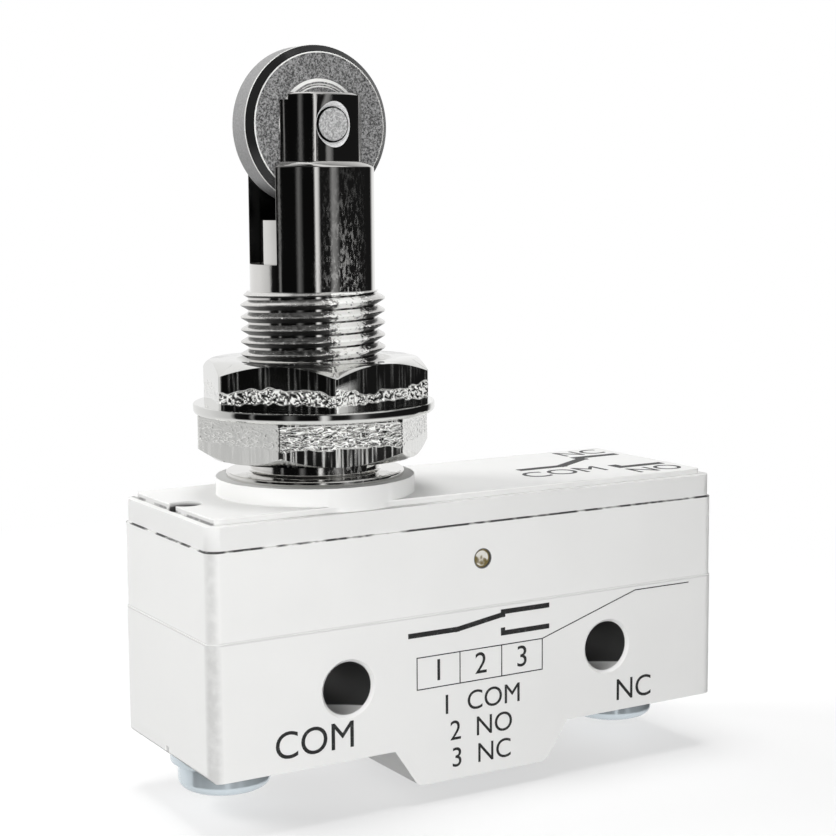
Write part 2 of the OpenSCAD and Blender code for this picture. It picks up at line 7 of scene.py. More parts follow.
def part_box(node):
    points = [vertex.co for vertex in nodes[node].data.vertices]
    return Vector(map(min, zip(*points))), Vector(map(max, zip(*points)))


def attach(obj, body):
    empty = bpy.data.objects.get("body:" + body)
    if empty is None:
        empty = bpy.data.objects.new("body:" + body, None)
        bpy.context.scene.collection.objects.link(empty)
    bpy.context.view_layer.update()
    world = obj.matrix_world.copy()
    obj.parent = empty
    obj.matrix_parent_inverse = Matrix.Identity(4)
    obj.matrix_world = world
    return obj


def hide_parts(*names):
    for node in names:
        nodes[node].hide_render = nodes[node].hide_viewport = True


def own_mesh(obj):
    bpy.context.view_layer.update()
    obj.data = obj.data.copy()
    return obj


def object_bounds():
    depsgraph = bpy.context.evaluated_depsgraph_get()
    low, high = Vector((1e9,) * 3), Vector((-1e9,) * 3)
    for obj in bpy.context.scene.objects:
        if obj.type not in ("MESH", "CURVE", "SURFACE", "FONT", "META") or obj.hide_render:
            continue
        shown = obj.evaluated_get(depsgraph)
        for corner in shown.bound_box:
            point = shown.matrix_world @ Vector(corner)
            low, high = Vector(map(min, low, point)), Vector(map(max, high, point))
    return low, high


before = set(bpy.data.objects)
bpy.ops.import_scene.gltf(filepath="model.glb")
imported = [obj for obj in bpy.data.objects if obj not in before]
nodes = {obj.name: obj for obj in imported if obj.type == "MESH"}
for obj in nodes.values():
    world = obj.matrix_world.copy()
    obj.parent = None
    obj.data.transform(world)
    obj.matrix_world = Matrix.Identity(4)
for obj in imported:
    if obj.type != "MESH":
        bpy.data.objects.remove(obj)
cad_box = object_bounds()

# The bench: a pale floor under the part and a white room round it. Metal sees that room as a bench
# photographer sets it: bright behind the part and on its left, dark cards with slim strip lamps on
# the camera's side, a white table below.
scene = bpy.context.scene
MM = 0.001
WHITE = (1, 1, 1, 1)


class Nodes:
    """Short hand for a node tree: add a node, set its values, join sockets."""

    def __init__(self, tree):
        self.tree = tree
        self.shader = tree.nodes.get("Principled BSDF")
        self.out = next(n for n in tree.nodes if n.type in ("OUTPUT_MATERIAL", "OUTPUT_WORLD"))

    def add(self, kind, values=None, **settings):
        node = self.tree.nodes.new("ShaderNode" + kind)
        for key, value in settings.items():
            setattr(node, key, value)
        for socket, value in (values or {}).items():
            if isinstance(value, bpy.types.NodeSocket):
                self.tree.links.new(value, node.inputs[socket])
            else:
                node.inputs[socket].default_value = value
        return node

    def math(self, operation, *values):
        return self.add("Math", dict(enumerate(values)), operation=operation).outputs[0]

    def spread(self, value, low, high, to_low, to_high):
        return self.add("MapRange", {"Value": value, "From Min": low, "From Max": high,
                                     "To Min": to_low, "To Max": to_high}).outputs[0]

    def mix(self, share, first, second):
        return self.add("MixRGB", {0: share, 1: first, 2: second}).outputs[0]

    def cloud(self, place, scale, detail=3.0, roughness=0.5):
        return self.add("TexNoise", {"Vector": place, "Scale": scale, "Detail": detail,
                                     "Roughness": roughness}).outputs["Fac"]

    def ramp(self, factor, stops):
        node = self.add("ValToRGB", {0: factor})
        row = node.color_ramp.elements
        row[0].position, row[1].position = stops[0][0], stops[-1][0]
        for place, _ in stops[1:-1]:
            row.new(place)
        for element, (_, tone) in zip(row, stops):
            element.color = (*tone, 1) if hasattr(tone, "__len__") else (tone, tone, tone, 1)
        return node.outputs[0]

    def bump(self, height, strength, distance, under=None):
        values = {"Height": height, "Strength": strength, "Distance": distance * MM}
        return self.add("Bump", {**values, "Normal": under} if under else values).outputs[0]

    def join(self, value, socket):
        self.tree.links.new(value, self.shader.inputs[socket])


def new_finish(name):
    """A material and its node tree."""
    finish = bpy.data.materials.new(name)
    finish.use_nodes = True
    return finish, Nodes(finish.node_tree)


FLOOR_SIZE, FLOOR_GAP = 6, 0.02
FADE_FROM, FADE_TO = 0.02, 0.13
bpy.ops.object.select_all(action="DESELECT")
bpy.ops.mesh.primitive_plane_add(size=FLOOR_SIZE, location=(0, 0, cad_box[0][2] - FLOOR_GAP * MM))
floor = bpy.context.object
floor.name = "bench_floor"
floor.visible_glossy = False
floor.visible_diffuse = False
floor.visible_shadow = False
finish, n = new_finish("bench_white")
place = n.add("TexCoord").outputs["Object"]
n.join(n.ramp(n.cloud(place, 40.0), [(0, 0.90), (1, 0.92)]), "Base Color")
n.shader.inputs["Roughness"].default_value = 0.9
n.shader.inputs["Specular IOR Level"].default_value = 0.0
# Seen directly, the floor fades to plain white with the distance from the part.
away = n.add("VectorMath", {0: place}, operation="LENGTH").outputs["Value"]
seen = n.add("LightPath").outputs["Is Camera Ray"]
share = n.math("MULTIPLY", seen, n.spread(away, FADE_FROM, FADE_TO, 0.55, 1.0))
glow = n.add("Emission", {"Color": WHITE, "Strength": 1.0})
mixed = n.add("MixShader", {0: share, 1: n.shader.outputs[0], 2: glow.outputs[0]})
n.tree.links.new(mixed.outputs[0], n.out.inputs["Surface"])
floor.data.materials.append(finish)

VIEW_AZIMUTH = math.radians(30.81)
DIM = 0.004
world = bpy.data.worlds.new("bench_room")
scene.world = world
world.use_nodes = True
n = Nodes(world.node_tree)
sky = n.add("TexCoord").outputs["Generated"]
room = n.add("Mapping", {"Vector": sky, "Rotation": (0, 0, VIEW_AZIMUTH)})
axes = n.add("SeparateXYZ", {0: room.outputs[0]}).outputs
bearing = n.math("ARCTAN2", axes["X"], n.math("MULTIPLY", axes["Y"], -1.0))
turn = n.math("ADD", n.math("DIVIDE", bearing, 2 * math.pi), 0.5)


def at(degrees):
    """A bearing, nought towards the camera and positive to its right, as a place on a ramp."""
    return degrees / 360 + 0.5


# What metal mirrors bearing by bearing, at the part's own height and higher up.
level = n.ramp(turn, [
    (at(-180), 0.95), (at(-110), 0.80), (at(-82), 0.60), (at(-76), 0.01), (at(-60), DIM), (at(-57), 0.25),
    (at(-54), DIM), (at(-26), DIM), (at(-20), 0.14), (at(-12), DIM), (at(8), DIM), (at(11), 0.90),
    (at(15), 0.75), (at(19), 0.01), (at(36), 0.01), (at(42), 0.25), (at(48), 0.20), (at(56), 0.01),
    (at(140), 0.01), (at(152), 0.9), (at(180), 1.0)])
above = n.ramp(turn, [
    (at(-180), 1.0), (at(-120), 0.9), (at(-80), 0.25), (at(-30), 0.02), (at(15), 0.04), (at(30), 0.75),
    (at(75), 0.95), (at(95), 0.25), (at(130), 0.5), (at(180), 1.0)])
metal_room = n.mix(n.spread(axes["Z"], 0.25, 0.45, 0.0, 1.0), level, above)
metal_room = n.mix(n.spread(axes["Z"], -0.30, -0.55, 0.0, 1.0), metal_room, (0.85, 0.85, 0.85, 1))
path = n.add("LightPath").outputs
haze = n.spread(axes["Z"], -0.25, 0.25, 0.03, 0.04)
fill = n.add("Background", {"Color": WHITE, "Strength": haze})
studio = n.add("Background", {"Color": metal_room, "Strength": 1.0})
white = n.add("Background", {"Color": WHITE, "Strength": 1.0})
shiny = n.math("MAXIMUM", path["Is Glossy Ray"], path["Is Transmission Ray"])
lit = n.add("MixShader", {0: shiny, 1: fill.outputs[0], 2: studio.outputs[0]})
lit = n.add("MixShader", {0: path["Is Camera Ray"], 1: lit.outputs[0], 2: white.outputs[0]})
n.tree.links.new(lit.outputs[0], n.out.inputs["Surface"])


def soft_lamp(name, place, size, watts):
    """A round lamp that looks at the part and that metal doesn't mirror."""
    bpy.ops.object.light_add(type="AREA", location=place)
    lamp = bpy.context.object
    lamp.name = name
    lamp.data.shape = "DISK"
    lamp.data.size = size
    lamp.data.energy = watts
    lamp.rotation_euler = (-Vector(place)).to_track_quat("-Z", "Y").to_euler()
    lamp.visible_glossy = False


soft_lamp("overhead_lamp", (0.0, 0.0, 0.50), 0.25, 1.58)
soft_lamp("left_lamp", (-0.35, 0.255, 0.25), 0.25, 1.67)
soft_lamp("rear_left_lamp", (-0.16, 0.468, 0.07), 0.25, 1.65)
soft_lamp("front_lamp", (-0.078, -0.203, 0.031), 0.12, 0.385)
soft_lamp("corner_lamp", (-0.181, -0.122, 0.031), 0.12, 0.08)
soft_lamp("rear_right_lamp", (0.46, 0.19, 0.05), 0.25, 1.1)
soft_lamp("right_lamp", (0.12, -0.48, 0.07), 0.25, 0.30)

STAND, SIGHT, TILT = (-77.7715, -128.8028, 38.2986), (0.50836635, 0.85249886, -0.12169367), -0.385
FOCAL_PIXELS, FRAME_PIXELS, SENSOR = 1771.4, 836, 36
camera = bpy.data.objects.new("bench_camera", bpy.data.cameras.new("bench_camera"))
scene.collection.objects.link(camera)
camera.location = [place * MM for place in STAND]
look = Vector(SIGHT).to_track_quat("-Z", "Y")
camera.rotation_euler = (look @ Quaternion((0, 0, 1), math.radians(TILT))).to_euler()
camera.data.sensor_width = SENSOR
camera.data.lens = FOCAL_PIXELS * SENSOR / FRAME_PIXELS
camera.data.clip_start = 0.005
scene.camera = camera
scene.view_settings.view_transform = "Standard"

# The case: the moulded base of the switch, a filled resin in light grey with a fine satin skin. Its
# front and back walls carry the two cross holes for the mounting screws.
HOLE_X, HOLE_R, WALL_Y, LEDGE_Z, PARTING_Z = 12.7, 2.15, 8.7, 5.0, 12.1
ANCHOR_Z, ANCHOR_R = 9.1, 0.75
# Painted shade darkens the upright corner nearest the camera where x + y lies beyond these.
CORNER_SHADE_START, CORNER_SHADE_FULL = -32.25, -32.6
# The dark tone is dust in the joints and the pin's dark ring, and painted shade in holes, on steps, ledge
# and corner.
DARK_DIRT_AND_SHADE = (0.02, 0.02, 0.02, 1)


def moulded(name, tone, speckle, shade=None):
    """Moulded resin: a faint mottle in the colour, a fine eggshell skin, and dark dust and painted shade
    where shade says.
    """
    finish, n = new_finish(name)
    place = n.add("TexCoord").outputs["Object"]
    cloud = n.cloud(place, 120.0, 4.0)
    dark = tuple(c * (1 - speckle) for c in tone)
    colour = n.ramp(cloud, [(0.3, dark), (0.7, tone)])
    if shade:
        dirt_and_shade = shade(n, n.add("SeparateXYZ", {0: place}).outputs, place)
        colour = n.mix(dirt_and_shade, colour, DARK_DIRT_AND_SHADE)
    n.join(colour, "Base Color")
    n.join(n.spread(cloud, 0.3, 0.7, 0.42, 0.56), "Roughness")
    n.join(n.bump(n.cloud(place, 5200.0), 0.30, 0.02), "Normal")
    return finish


def only(piece):
    """Select this piece alone and make it active."""
    bpy.ops.object.select_all(action="DESELECT")
    piece.select_set(True)
    bpy.context.view_layer.objects.active = piece


def applied(piece, kind, **settings):
    """Put one modifier on a piece and apply it."""
    only(piece)
    modifier = piece.modifiers.new(kind.lower(), kind)
    for key, value in settings.items():
        setattr(modifier, key, value)
    bpy.ops.object.modifier_apply(modifier=modifier.name)


def soften(piece, edge, angle=35):
    """Break the sharp edges by a small bevel, shade round faces smooth and keep flat faces flat."""
    if edge:
        applied(piece, "BEVEL", width=edge * MM, segments=2, limit_method="ANGLE",
                angle_limit=math.radians(28), miter_outer="MITER_ARC")
    only(piece)
    bpy.ops.object.shade_smooth_by_angle(angle=math.radians(angle))
    applied(piece, "WEIGHTED_NORMAL", keep_sharp=True, weight=80)


def fit(piece, finish, body, slot, *stands_for):
    """Give a finished piece its material, its body and the CAD nodes that it stands for."""
    piece.data.materials.clear()
    piece.data.materials.append(finish)
    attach(piece, body)
    if stands_for:
        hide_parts(*stands_for)


def edge_broken(node, name, edge):
    """The solid of a CAD node with its facets joined to whole faces and its sharp edges broken."""
    piece = bpy.data.objects.new(name, nodes[node].data.copy())
    scene.collection.objects.link(piece)
    only(piece)
    bpy.ops.mesh.customdata_custom_splitnormals_clear()
    bpy.ops.object.mode_set(mode="EDIT")
    bpy.ops.mesh.select_all(action="SELECT")
    bpy.ops.mesh.remove_doubles(threshold=0.001 * MM)
    bpy.ops.mesh.dissolve_limited(angle_limit=math.radians(0.5))
    bpy.ops.object.mode_set(mode="OBJECT")
    soften(piece, edge)
    return piece


def far_from(n, first, second):
    """Distance from an axis, out of the two offsets across it."""
    squares = [n.math("MULTIPLY", offset, offset) for offset in (first, second)]
    return n.math("SQRT", n.math("ADD", *squares))


def joint_line(n, place, height):
    """Dust in the joint between case and cover, broken here and there."""
    broken = n.spread(n.cloud(place, 420.0), 0.42, 0.54, 0.0, 0.95)
    gap = n.math("ABSOLUTE", n.math("SUBTRACT", height, PARTING_Z * MM))
    return n.math("MULTIPLY", n.spread(gap, 0.10 * MM, 0.05 * MM, 0.0, 1.0), broken)


def darkest(n, shade, *marks):
    """The strongest of several marks at each point."""
    for mark in marks:
        shade = n.math("MAXIMUM", shade, mark)
    return shade


def case_shade(n, xyz, place):
    """Painted shade on hole walls, ledge and one corner; a dark ring round the brass pin; dust in the
    joint.
    """
    side = n.math("SUBTRACT", xyz["X"], n.math("MULTIPLY", n.math("SIGN", xyz["X"]), HOLE_X * MM))
    depth = n.math("SUBTRACT", WALL_Y * MM, n.math("ABSOLUTE", xyz["Y"]))
    # Painted shade: the walls of the cross holes are dark.
    bore = n.spread(far_from(n, side, xyz["Z"]), (HOLE_R + 0.10) * MM, (HOLE_R + 0.04) * MM, 0.0, 0.97)
    bore = n.math("MULTIPLY", bore, n.spread(depth, 0.26 * MM, 0.34 * MM, 0.0, 1.0))
    # A slanting strip at the bottom of each hole is lit.
    tilt = n.math("ADD", n.math("MULTIPLY", side, 0.13), n.math("MULTIPLY", depth, 0.22))
    unlit = n.spread(n.math("ADD", xyz["Z"], tilt), -1.40 * MM, -1.32 * MM, 0.12, 1.0)
    bore = n.math("MULTIPLY", bore, unlit)
    rim = far_from(n, xyz["X"], n.math("SUBTRACT", xyz["Z"], ANCHOR_Z * MM))
    rim = n.math("MULTIPLY", n.spread(rim, (ANCHOR_R + 0.12) * MM, (ANCHOR_R + 0.09) * MM, 0.0, 0.95),
                 n.spread(depth, 0.0, 0.09 * MM, 0.0, 1.0))
    # Painted shade along the ledge.
    ledge = n.math("ABSOLUTE", n.math("SUBTRACT", xyz["Z"], LEDGE_Z * MM))
    ledge = n.spread(ledge, 0.16 * MM, 0.10 * MM, 0.0, 0.16)
    # Painted shade on the upright corner nearest the camera.
    corner_tone = n.spread(n.math("ADD", xyz["X"], xyz["Y"]), CORNER_SHADE_START * MM, CORNER_SHADE_FULL * MM, 0.0, 0.27)
    corner_tone = n.math("MULTIPLY", corner_tone, n.spread(n.cloud(place, 1500.0), 0.3, 0.6, 0.6, 1.0))
    return darkest(n, joint_line(n, place, xyz["Z"]), bore, rim, ledge, corner_tone)


case_resin = moulded("case_resin", (0.80, 0.80, 0.79), 0.03, case_shade)
case_shell = edge_broken("case", "case_shell", 0.12)
fit(case_shell, case_resin, "housing", "case_plastic", "case")

# The cover: the moulded lid that closes the case, with a raised plateau and the round boss that the
# bushing is pressed into. A shade darker than the case.
BLIND_X, BLIND_R, PLATEAU_X, PLATEAU_Y, PLATEAU_Z, EDGE_Z = -22.5, 1.3, 23.65, 7.75, 14.53, 14.05


def cover_shade(n, xyz, place):
    """Painted shade inside the blind hole and on the plateau's step, a painted shadow at its foot, dust in
    the joint.
    """
    # Painted shade inside the blind hole.
    hole = far_from(n, n.math("SUBTRACT", xyz["X"], BLIND_X * MM), xyz["Y"])
    hole = n.spread(hole, (BLIND_R + 0.03) * MM, (BLIND_R + 0.01) * MM, 0.0, 1.0)
    deep = n.spread(xyz["Z"], (PLATEAU_Z - 0.1) * MM, (PLATEAU_Z - 0.4) * MM, 0.0, 0.95)
    # Painted shade on the plateau's step wall, and a painted shadow along its foot.
    end = n.math("ABSOLUTE", n.math("ADD", xyz["X"], PLATEAU_X * MM))
    end = n.math("MULTIPLY", n.spread(end, 0.22 * MM, 0.10 * MM, 0.0, 1.0),
                 n.spread(xyz["Y"], -(PLATEAU_Y + 0.1) * MM, -PLATEAU_Y * MM, 0.0, 1.0))
    front = n.math("ABSOLUTE", n.math("ADD", xyz["Y"], PLATEAU_Y * MM))
    front = n.math("MULTIPLY", n.spread(front, 0.22 * MM, 0.10 * MM, 0.0, 0.5),
                   n.spread(xyz["X"], -(PLATEAU_X + 0.1) * MM, -PLATEAU_X * MM, 0.0, 1.0))
    rise = n.math("ABSOLUTE", n.math("SUBTRACT", xyz["Z"], EDGE_Z * MM))
    wall = n.spread(rise, 0.44 * MM, 0.36 * MM, 0.0, 0.26)
    wall = n.math("MULTIPLY", n.math("MAXIMUM", end, front), wall)
    foot = n.math("MULTIPLY", end, n.spread(rise, 0.26 * MM, 0.12 * MM, 0.0, 1.0))
    foot = n.math("MULTIPLY", foot, n.spread(n.cloud(place, 700.0), 0.40, 0.60, 0.15, 0.75))
    return darkest(n, joint_line(n, place, xyz["Z"]), n.math("MULTIPLY", hole, deep), wall, foot)


cover_resin = moulded("cover_resin", (0.76, 0.76, 0.75), 0.03, cover_shade)
cover_lid = edge_broken("cover", "cover_lid", 0.14)
fit(cover_lid, cover_resin, "housing", "cover_plastic", "cover")

# The bushing: turned from bar in one piece, with a flange, a fine thread and a slotted guide tube,
# then bright nickel plated. It sits in the boss of the cover.
low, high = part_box("bushing")
AXIS_X = (low.x + high.x) / 2 / MM
FOOT = low.z / MM
TUBE_TOP = high.z / MM
ROOT_R, CREST_R, TUBE_R, BORE_R, DEEP_R, FLANGE_R = 5.29, 5.90, 5.10, 4.20, 4.60, 7.35
BOSS_TOP, FLANGE_TOP, FLANGE_BEVEL, FILLET, SHOULDER = 15.98, 16.43, 0.1, 0.15, 28.93
THREAD_FOOT, PITCH, TURNS = 17.13, 1.0, 14
THREAD_TOP = THREAD_FOOT + TURNS * PITCH
SLOT_FLOOR, SLOT_HALF, SLOT_REACH = 33.33, 2.45, 8
# The pale front strip, partly wear and partly a painted highlight, is centred this far along x from the
# axis.
STRIP_SHIFT = 0.4
# The second tone is a painted shade, for the slot walls and the thread's undersides.
NICKEL, SHADE_TONE = (0.80, 0.79, 0.77), (0.10, 0.10, 0.10)
axis = Vector((AXIS_X * MM, 0, 0))


def plated(name, tone, low, high, scratch, metal=1.0, pits=0.0, pale_skin=None):
    """Plated metal of roughness low to high: tool rings, pits, and a pale matt skin where asked, in places
    a painted highlight.
    """
    finish, n = new_finish(name)
    place = n.add("TexCoord").outputs["Object"]
    n.shader.inputs["Metallic"].default_value = metal
    patch = n.cloud(place, 260.0, 5.0)
    rough = n.spread(patch, 0.4, 0.75, low, high)
    colour = n.ramp(patch, [(0.3, tuple(0.92 * c for c in tone)), (0.7, tone)])
    if pale_skin:
        share = pale_skin(n, place)
        rough = n.math("MAXIMUM", rough, n.math("MULTIPLY", share, 0.6))
        colour = n.mix(share, colour, (0.86, 0.86, 0.84, 1))
        n.join(n.spread(share, 0.0, 1.0, metal, 0.05), "Metallic")
    n.join(rough, "Roughness")
    n.join(colour, "Base Color")
    rings = n.cloud(n.add("Mapping", {"Vector": place, "Scale": (300, 300, 6000)}).outputs[0], 1.0, 2.0)
    normal = n.bump(rings, scratch, 0.01)
    if pits:
        where = n.spread(patch, 0.45, 0.65, 0.15, 1.0)
        normal = n.bump(n.math("MULTIPLY", n.cloud(place, 4500.0, 3.0, 0.7), where), pits, 0.03, normal)
    n.join(normal, "Normal")
    return finish


def lathe(name, outline, place, along=(0, 0, 1), steps=128):
    """A closed outline of (radius, height) in millimetres, spun round the line along through place."""
    bpy.ops.object.select_all(action="DESELECT")
    bpy.ops.mesh.primitive_circle_add(vertices=len(outline), radius=MM)
    piece = bpy.context.object
    piece.name = name
    along = Vector(along)
    for vertex, (radius, height) in zip(piece.data.vertices, outline):
        vertex.co = Vector(place) + Vector((radius * MM, 0, 0)) + along * height * MM
    bpy.ops.object.mode_set(mode="EDIT")
    bpy.ops.mesh.select_all(action="SELECT")
    bpy.ops.mesh.spin(steps=steps, angle=2 * math.pi, center=place, axis=along)
    bpy.ops.mesh.select_all(action="SELECT")
    bpy.ops.mesh.remove_doubles(threshold=0.0005 * MM)
    bpy.ops.mesh.dissolve_degenerate(threshold=0.0001 * MM)
    bpy.ops.mesh.delete_loose()
    bpy.ops.mesh.select_all(action="SELECT")
    bpy.ops.mesh.normals_make_consistent(inside=False)
    bpy.ops.object.mode_set(mode="OBJECT")
    return piece


def block(low, high):
    """A block between two corners, in millimetres."""
    bpy.ops.object.select_all(action="DESELECT")
    low, high = Vector(low) * MM, Vector(high) * MM
    bpy.ops.mesh.primitive_cube_add(size=1, location=(low + high) / 2, scale=high - low)
    bpy.ops.object.transform_apply(location=True, rotation=True, scale=True)
    return bpy.context.object


def carve(piece, cutter, operation="DIFFERENCE"):
    """Cut a piece by another solid, or melt the two together. The other is used up."""
    applied(piece, "BOOLEAN", object=cutter, operation=operation, solver="EXACT")
    bpy.data.objects.remove(cutter)


def scuffed(n, place, width):
    """The pale strip along the front of the bushing: partly dulled by spanners and panels, partly a painted
    highlight.
    """
    xyz = n.add("SeparateXYZ", {0: place}).outputs
    off = n.math("ABSOLUTE", n.math("SUBTRACT", xyz["X"], axis.x + STRIP_SHIFT * MM))
    near = n.spread(off, width * MM, 0.25 * width * MM, 0.0, 1.0)
    return n.math("MULTIPLY", near, n.math("LESS_THAN", xyz["Y"], 0.0)), xyz["Z"]


def tube_wear(n, place):
    """Pale specks on the front strip, wear and painted highlight, closer together towards the thread."""
    strip, height = scuffed(n, place, 2.3)
    drawn = n.add("Mapping", {"Vector": place, "Scale": (4200, 4200, 1500)}).outputs[0]
    specks = n.spread(n.cloud(drawn, 1.0, 3.0, 0.7), 0.50, 0.62, 0.0, 0.35)
    closeness = n.spread(height, 40 * MM, 32 * MM, 0.12, 1.0)
    return n.math("MULTIPLY", n.math("MULTIPLY", strip, specks), closeness)


nickel = plated("bright_nickel", NICKEL, 0.03, 0.12, 0.04, pits=0.15)
bushing_nickel = plated("bushing_nickel", NICKEL, 0.03, 0.12, 0.04, pits=0.15, pale_skin=tube_wear)
lip = [(TUBE_R, TUBE_TOP - 0.42), (TUBE_R - 0.06, TUBE_TOP - 0.34),
       (TUBE_R - 0.38, TUBE_TOP - 0.02), (TUBE_R - 0.45, TUBE_TOP)]
bushing = lathe("bushing_turned", [
    (DEEP_R, FOOT), (ROOT_R, FOOT), (ROOT_R, BOSS_TOP), (FLANGE_R, BOSS_TOP),
    (FLANGE_R, FLANGE_TOP - FLANGE_BEVEL), (FLANGE_R - FLANGE_BEVEL, FLANGE_TOP),
    (ROOT_R + FILLET, FLANGE_TOP), (ROOT_R, FLANGE_TOP + FILLET), (ROOT_R, THREAD_TOP),
    (TUBE_R, THREAD_TOP), *lip, (BORE_R, TUBE_TOP), (BORE_R, SHOULDER), (DEEP_R, SHOULDER)], axis)
carve(bushing, block((AXIS_X - SLOT_REACH, -SLOT_HALF, SLOT_FLOOR),
                     (AXIS_X + SLOT_REACH, SLOT_HALF, TUBE_TOP + 1)))
soften(bushing, 0.06)
fit(bushing, bushing_nickel, "housing", "nickel", "bushing")
# Painted shade: the walls of the slot take a dark finish.
milled = plated("milled_slot_shade", SHADE_TONE, 0.30, 0.50, 0.3)
bushing.data.materials.append(milled)
for face in bushing.data.polygons:
    on_wall = abs(abs(face.center.y) / MM - SLOT_HALF) < 0.02
    face.material_index = int(on_wall and abs(face.normal.y) > 0.95)

# The bushing's thread: a helix of 1 mm pitch cut with a blunt die, so that its flanks are rough; its
# undersides are dark, a painted shade. Both ends run out through a bevel.
HELIX_FOOT, HELIX_STEPS, SUNK = 17.56, 96, 0.12
RUN_IN, RUN_OUT, BLANK_R, END_GAP = 0.65, 0.60, CREST_R + 0.05, 0.02


def capped(piece):
    """Close the two open ends of a swept outline."""
    only(piece)
    bpy.ops.object.mode_set(mode="EDIT")
    bpy.ops.mesh.select_all(action="DESELECT")
    bpy.ops.mesh.select_mode(type="EDGE")
    bpy.ops.mesh.select_non_manifold()
    bpy.ops.mesh.edge_face_add()
    bpy.ops.mesh.select_all(action="SELECT")
    bpy.ops.mesh.normals_make_consistent(inside=False)
    bpy.ops.object.mode_set(mode="OBJECT")


tooth = [(ROOT_R - SUNK, -0.49), (CREST_R - 0.03, -0.08), (CREST_R, -0.04), (CREST_R, 0.04),
         (CREST_R - 0.03, 0.08), (ROOT_R - SUNK, 0.49)]
bpy.ops.object.select_all(action="DESELECT")
bpy.ops.mesh.primitive_circle_add(vertices=len(tooth), radius=MM)
thread = bpy.context.object
thread.name = "bushing_thread"
for vertex, (radius, height) in zip(thread.data.vertices, tooth):
    vertex.co = Vector((radius, 0, height * PITCH)) * MM
applied(thread, "SCREW", axis="Z", screw_offset=PITCH * MM, iterations=TURNS, steps=HELIX_STEPS,
        render_steps=HELIX_STEPS)
thread.location = axis + Vector((0, 0, HELIX_FOOT * MM))
bpy.ops.object.transform_apply(location=True, rotation=True, scale=True)
capped(thread)
carve(thread, lathe("thread_blank", [
    (0, THREAD_FOOT), (ROOT_R, THREAD_FOOT),
    (BLANK_R, THREAD_FOOT + RUN_IN), (BLANK_R, THREAD_TOP - RUN_OUT),
    (ROOT_R + END_GAP, THREAD_TOP - END_GAP), (0, THREAD_TOP - END_GAP)], axis), "INTERSECT")
soften(thread, 0)


def torn_strip(n, place, width, pull, low, high):
    """The front strip, wear and painted highlight, torn to grains, and the grain that tears it."""
    strip, _ = scuffed(n, place, width)
    grain = n.cloud(place, 2600.0, 4.0, 0.75)
    return n.spread(n.math("ADD", grain, n.math("MULTIPLY", strip, pull)), low, high, 0.0, 1.0), grain


def thread_wear(n, place):
    """The torn strip, wear and painted highlight, and a thin dull skin all round."""
    torn, grain = torn_strip(n, place, 2.8, 0.28, 0.64, 0.71)
    return n.math("MAXIMUM", torn, n.spread(grain, 0.45, 0.65, 0.02, 0.22))


def swarf_wear(n, place):
    """The torn strip alone, which turns the painted shade of the undersides pale."""
    return torn_strip(n, place, 2.4, 0.32, 0.66, 0.74)[0]


thread_nickel = plated("thread_nickel", (0.78, 0.77, 0.75), 0.16, 0.34, 0.3, pits=0.6, pale_skin=thread_wear)
fit(thread, thread_nickel, "housing", "nickel")
# Painted shade: faces that look downwards take a dark finish.
thread.data.materials.append(plated("thread_underside_shade", SHADE_TONE, 0.3, 0.5, 0.3, pale_skin=swarf_wear))
for face in thread.data.polygons:
    face.material_index = int(face.normal.z < -0.3)

# The nuts and the panel washer: two flat hexagon nuts cut from drawn bar, whose flats keep a torn
# skin, and a stamped washer with rolled edges between them. They clamp the switch in a panel.
NUT_CORNER_R, NUT_CLIP_R, NUT_FLAT_R, NUT_INSET = 9.815, 9.72, 8.50, 0.2
NUT_BORE_R, NUT_BORE_SOFT, NUT_BEVEL = 5.95, 0.45, 0.68
APOTHEM = NUT_CORNER_R * math.cos(math.radians(30))
SIDE_HALF = NUT_CORNER_R / 2
CUTS, TORN_SEED = 96, 5
# The flats are counted round the nut. This one of the upper nut faces the camera.
NEAR_FLAT = 4
noise.seed_set(TORN_SEED)


def torn_skin(n, place):
    """The pale lines of torn metal, kept as an attribute of the mesh."""
    return n.add("Attribute", attribute_name="torn").outputs["Fac"]


def step(value, low, high):
    """Nought below low, one above high, straight between."""
    return min(1.0, max(0.0, (value - low) / (high - low)))


def fold(slide, rise, flat, along, across):
    """A field of winding lines: nought on them, rising to their sides."""
    spot = Vector((slide * along, rise * across, flat * 5.3))
    spot += 0.6 * noise.noise_vector(spot * 0.7)
    return abs(noise.noise(spot))


def torn_depth(line):
    """How deep the torn skin lies, least on its lines."""
    return 0.04 + 0.3 * min(0.4, line)


def upper_skin(slide, rise, flat):
    """Depth and paleness of the upper nut's skin: torn along the lower half, drawn smooth above."""
    edge = 1.75 if flat != NEAR_FLAT else 1.3 + 1.1 * (slide / SIDE_HALF) ** 2
    edge += 0.35 * noise.noise((slide * 1.2, flat * 9.1, 0))
    foot = 0.52 + 0.25 * noise.noise((slide * 1.7, flat * 4.3, 5))
    torn = step(rise, foot, foot + 0.12) * step(edge - rise, 0.0, 0.15)
    line = fold(slide, rise, flat, 3.4, 1.9)
    streak = step(noise.noise((slide * 5.5, flat * 3.1, rise * 0.2)), 0.25, 0.7)
    corner_tone = 0.6 * step(-slide, 2.6, 4.2) * step(2.9 - rise, 0.0, 0.6) if flat == NEAR_FLAT else 0.0
    light = torn * step(0.13 + 0.15 * corner_tone - line, 0.0, 0.04) + (1 - torn) * (0.15 * streak + corner_tone)
    return torn * torn_depth(line), light


def lower_skin(slide, rise, flat):
    """Depth and paleness of the lower nut's skin: torn above an arch, brushed upright below."""
    arch = 1.35 - 0.8 * abs(slide / SIDE_HALF) ** 4 + 0.15 * noise.noise((slide * 1.4, flat * 9.1, 0))
    torn = step(rise - arch, 0.0, 0.12) * step(3.3 - rise, 0.0, 0.15)
    line = fold(slide, rise, flat, 2.0, 4.2)
    streak = step(noise.noise((slide * 9.0, flat * 3.1, rise * 0.15)), 0.05, 0.4)
    light = torn * step(0.11 - line, 0.0, 0.04) + (1 - torn) * 0.5 * streak
    return torn * torn_depth(line), light


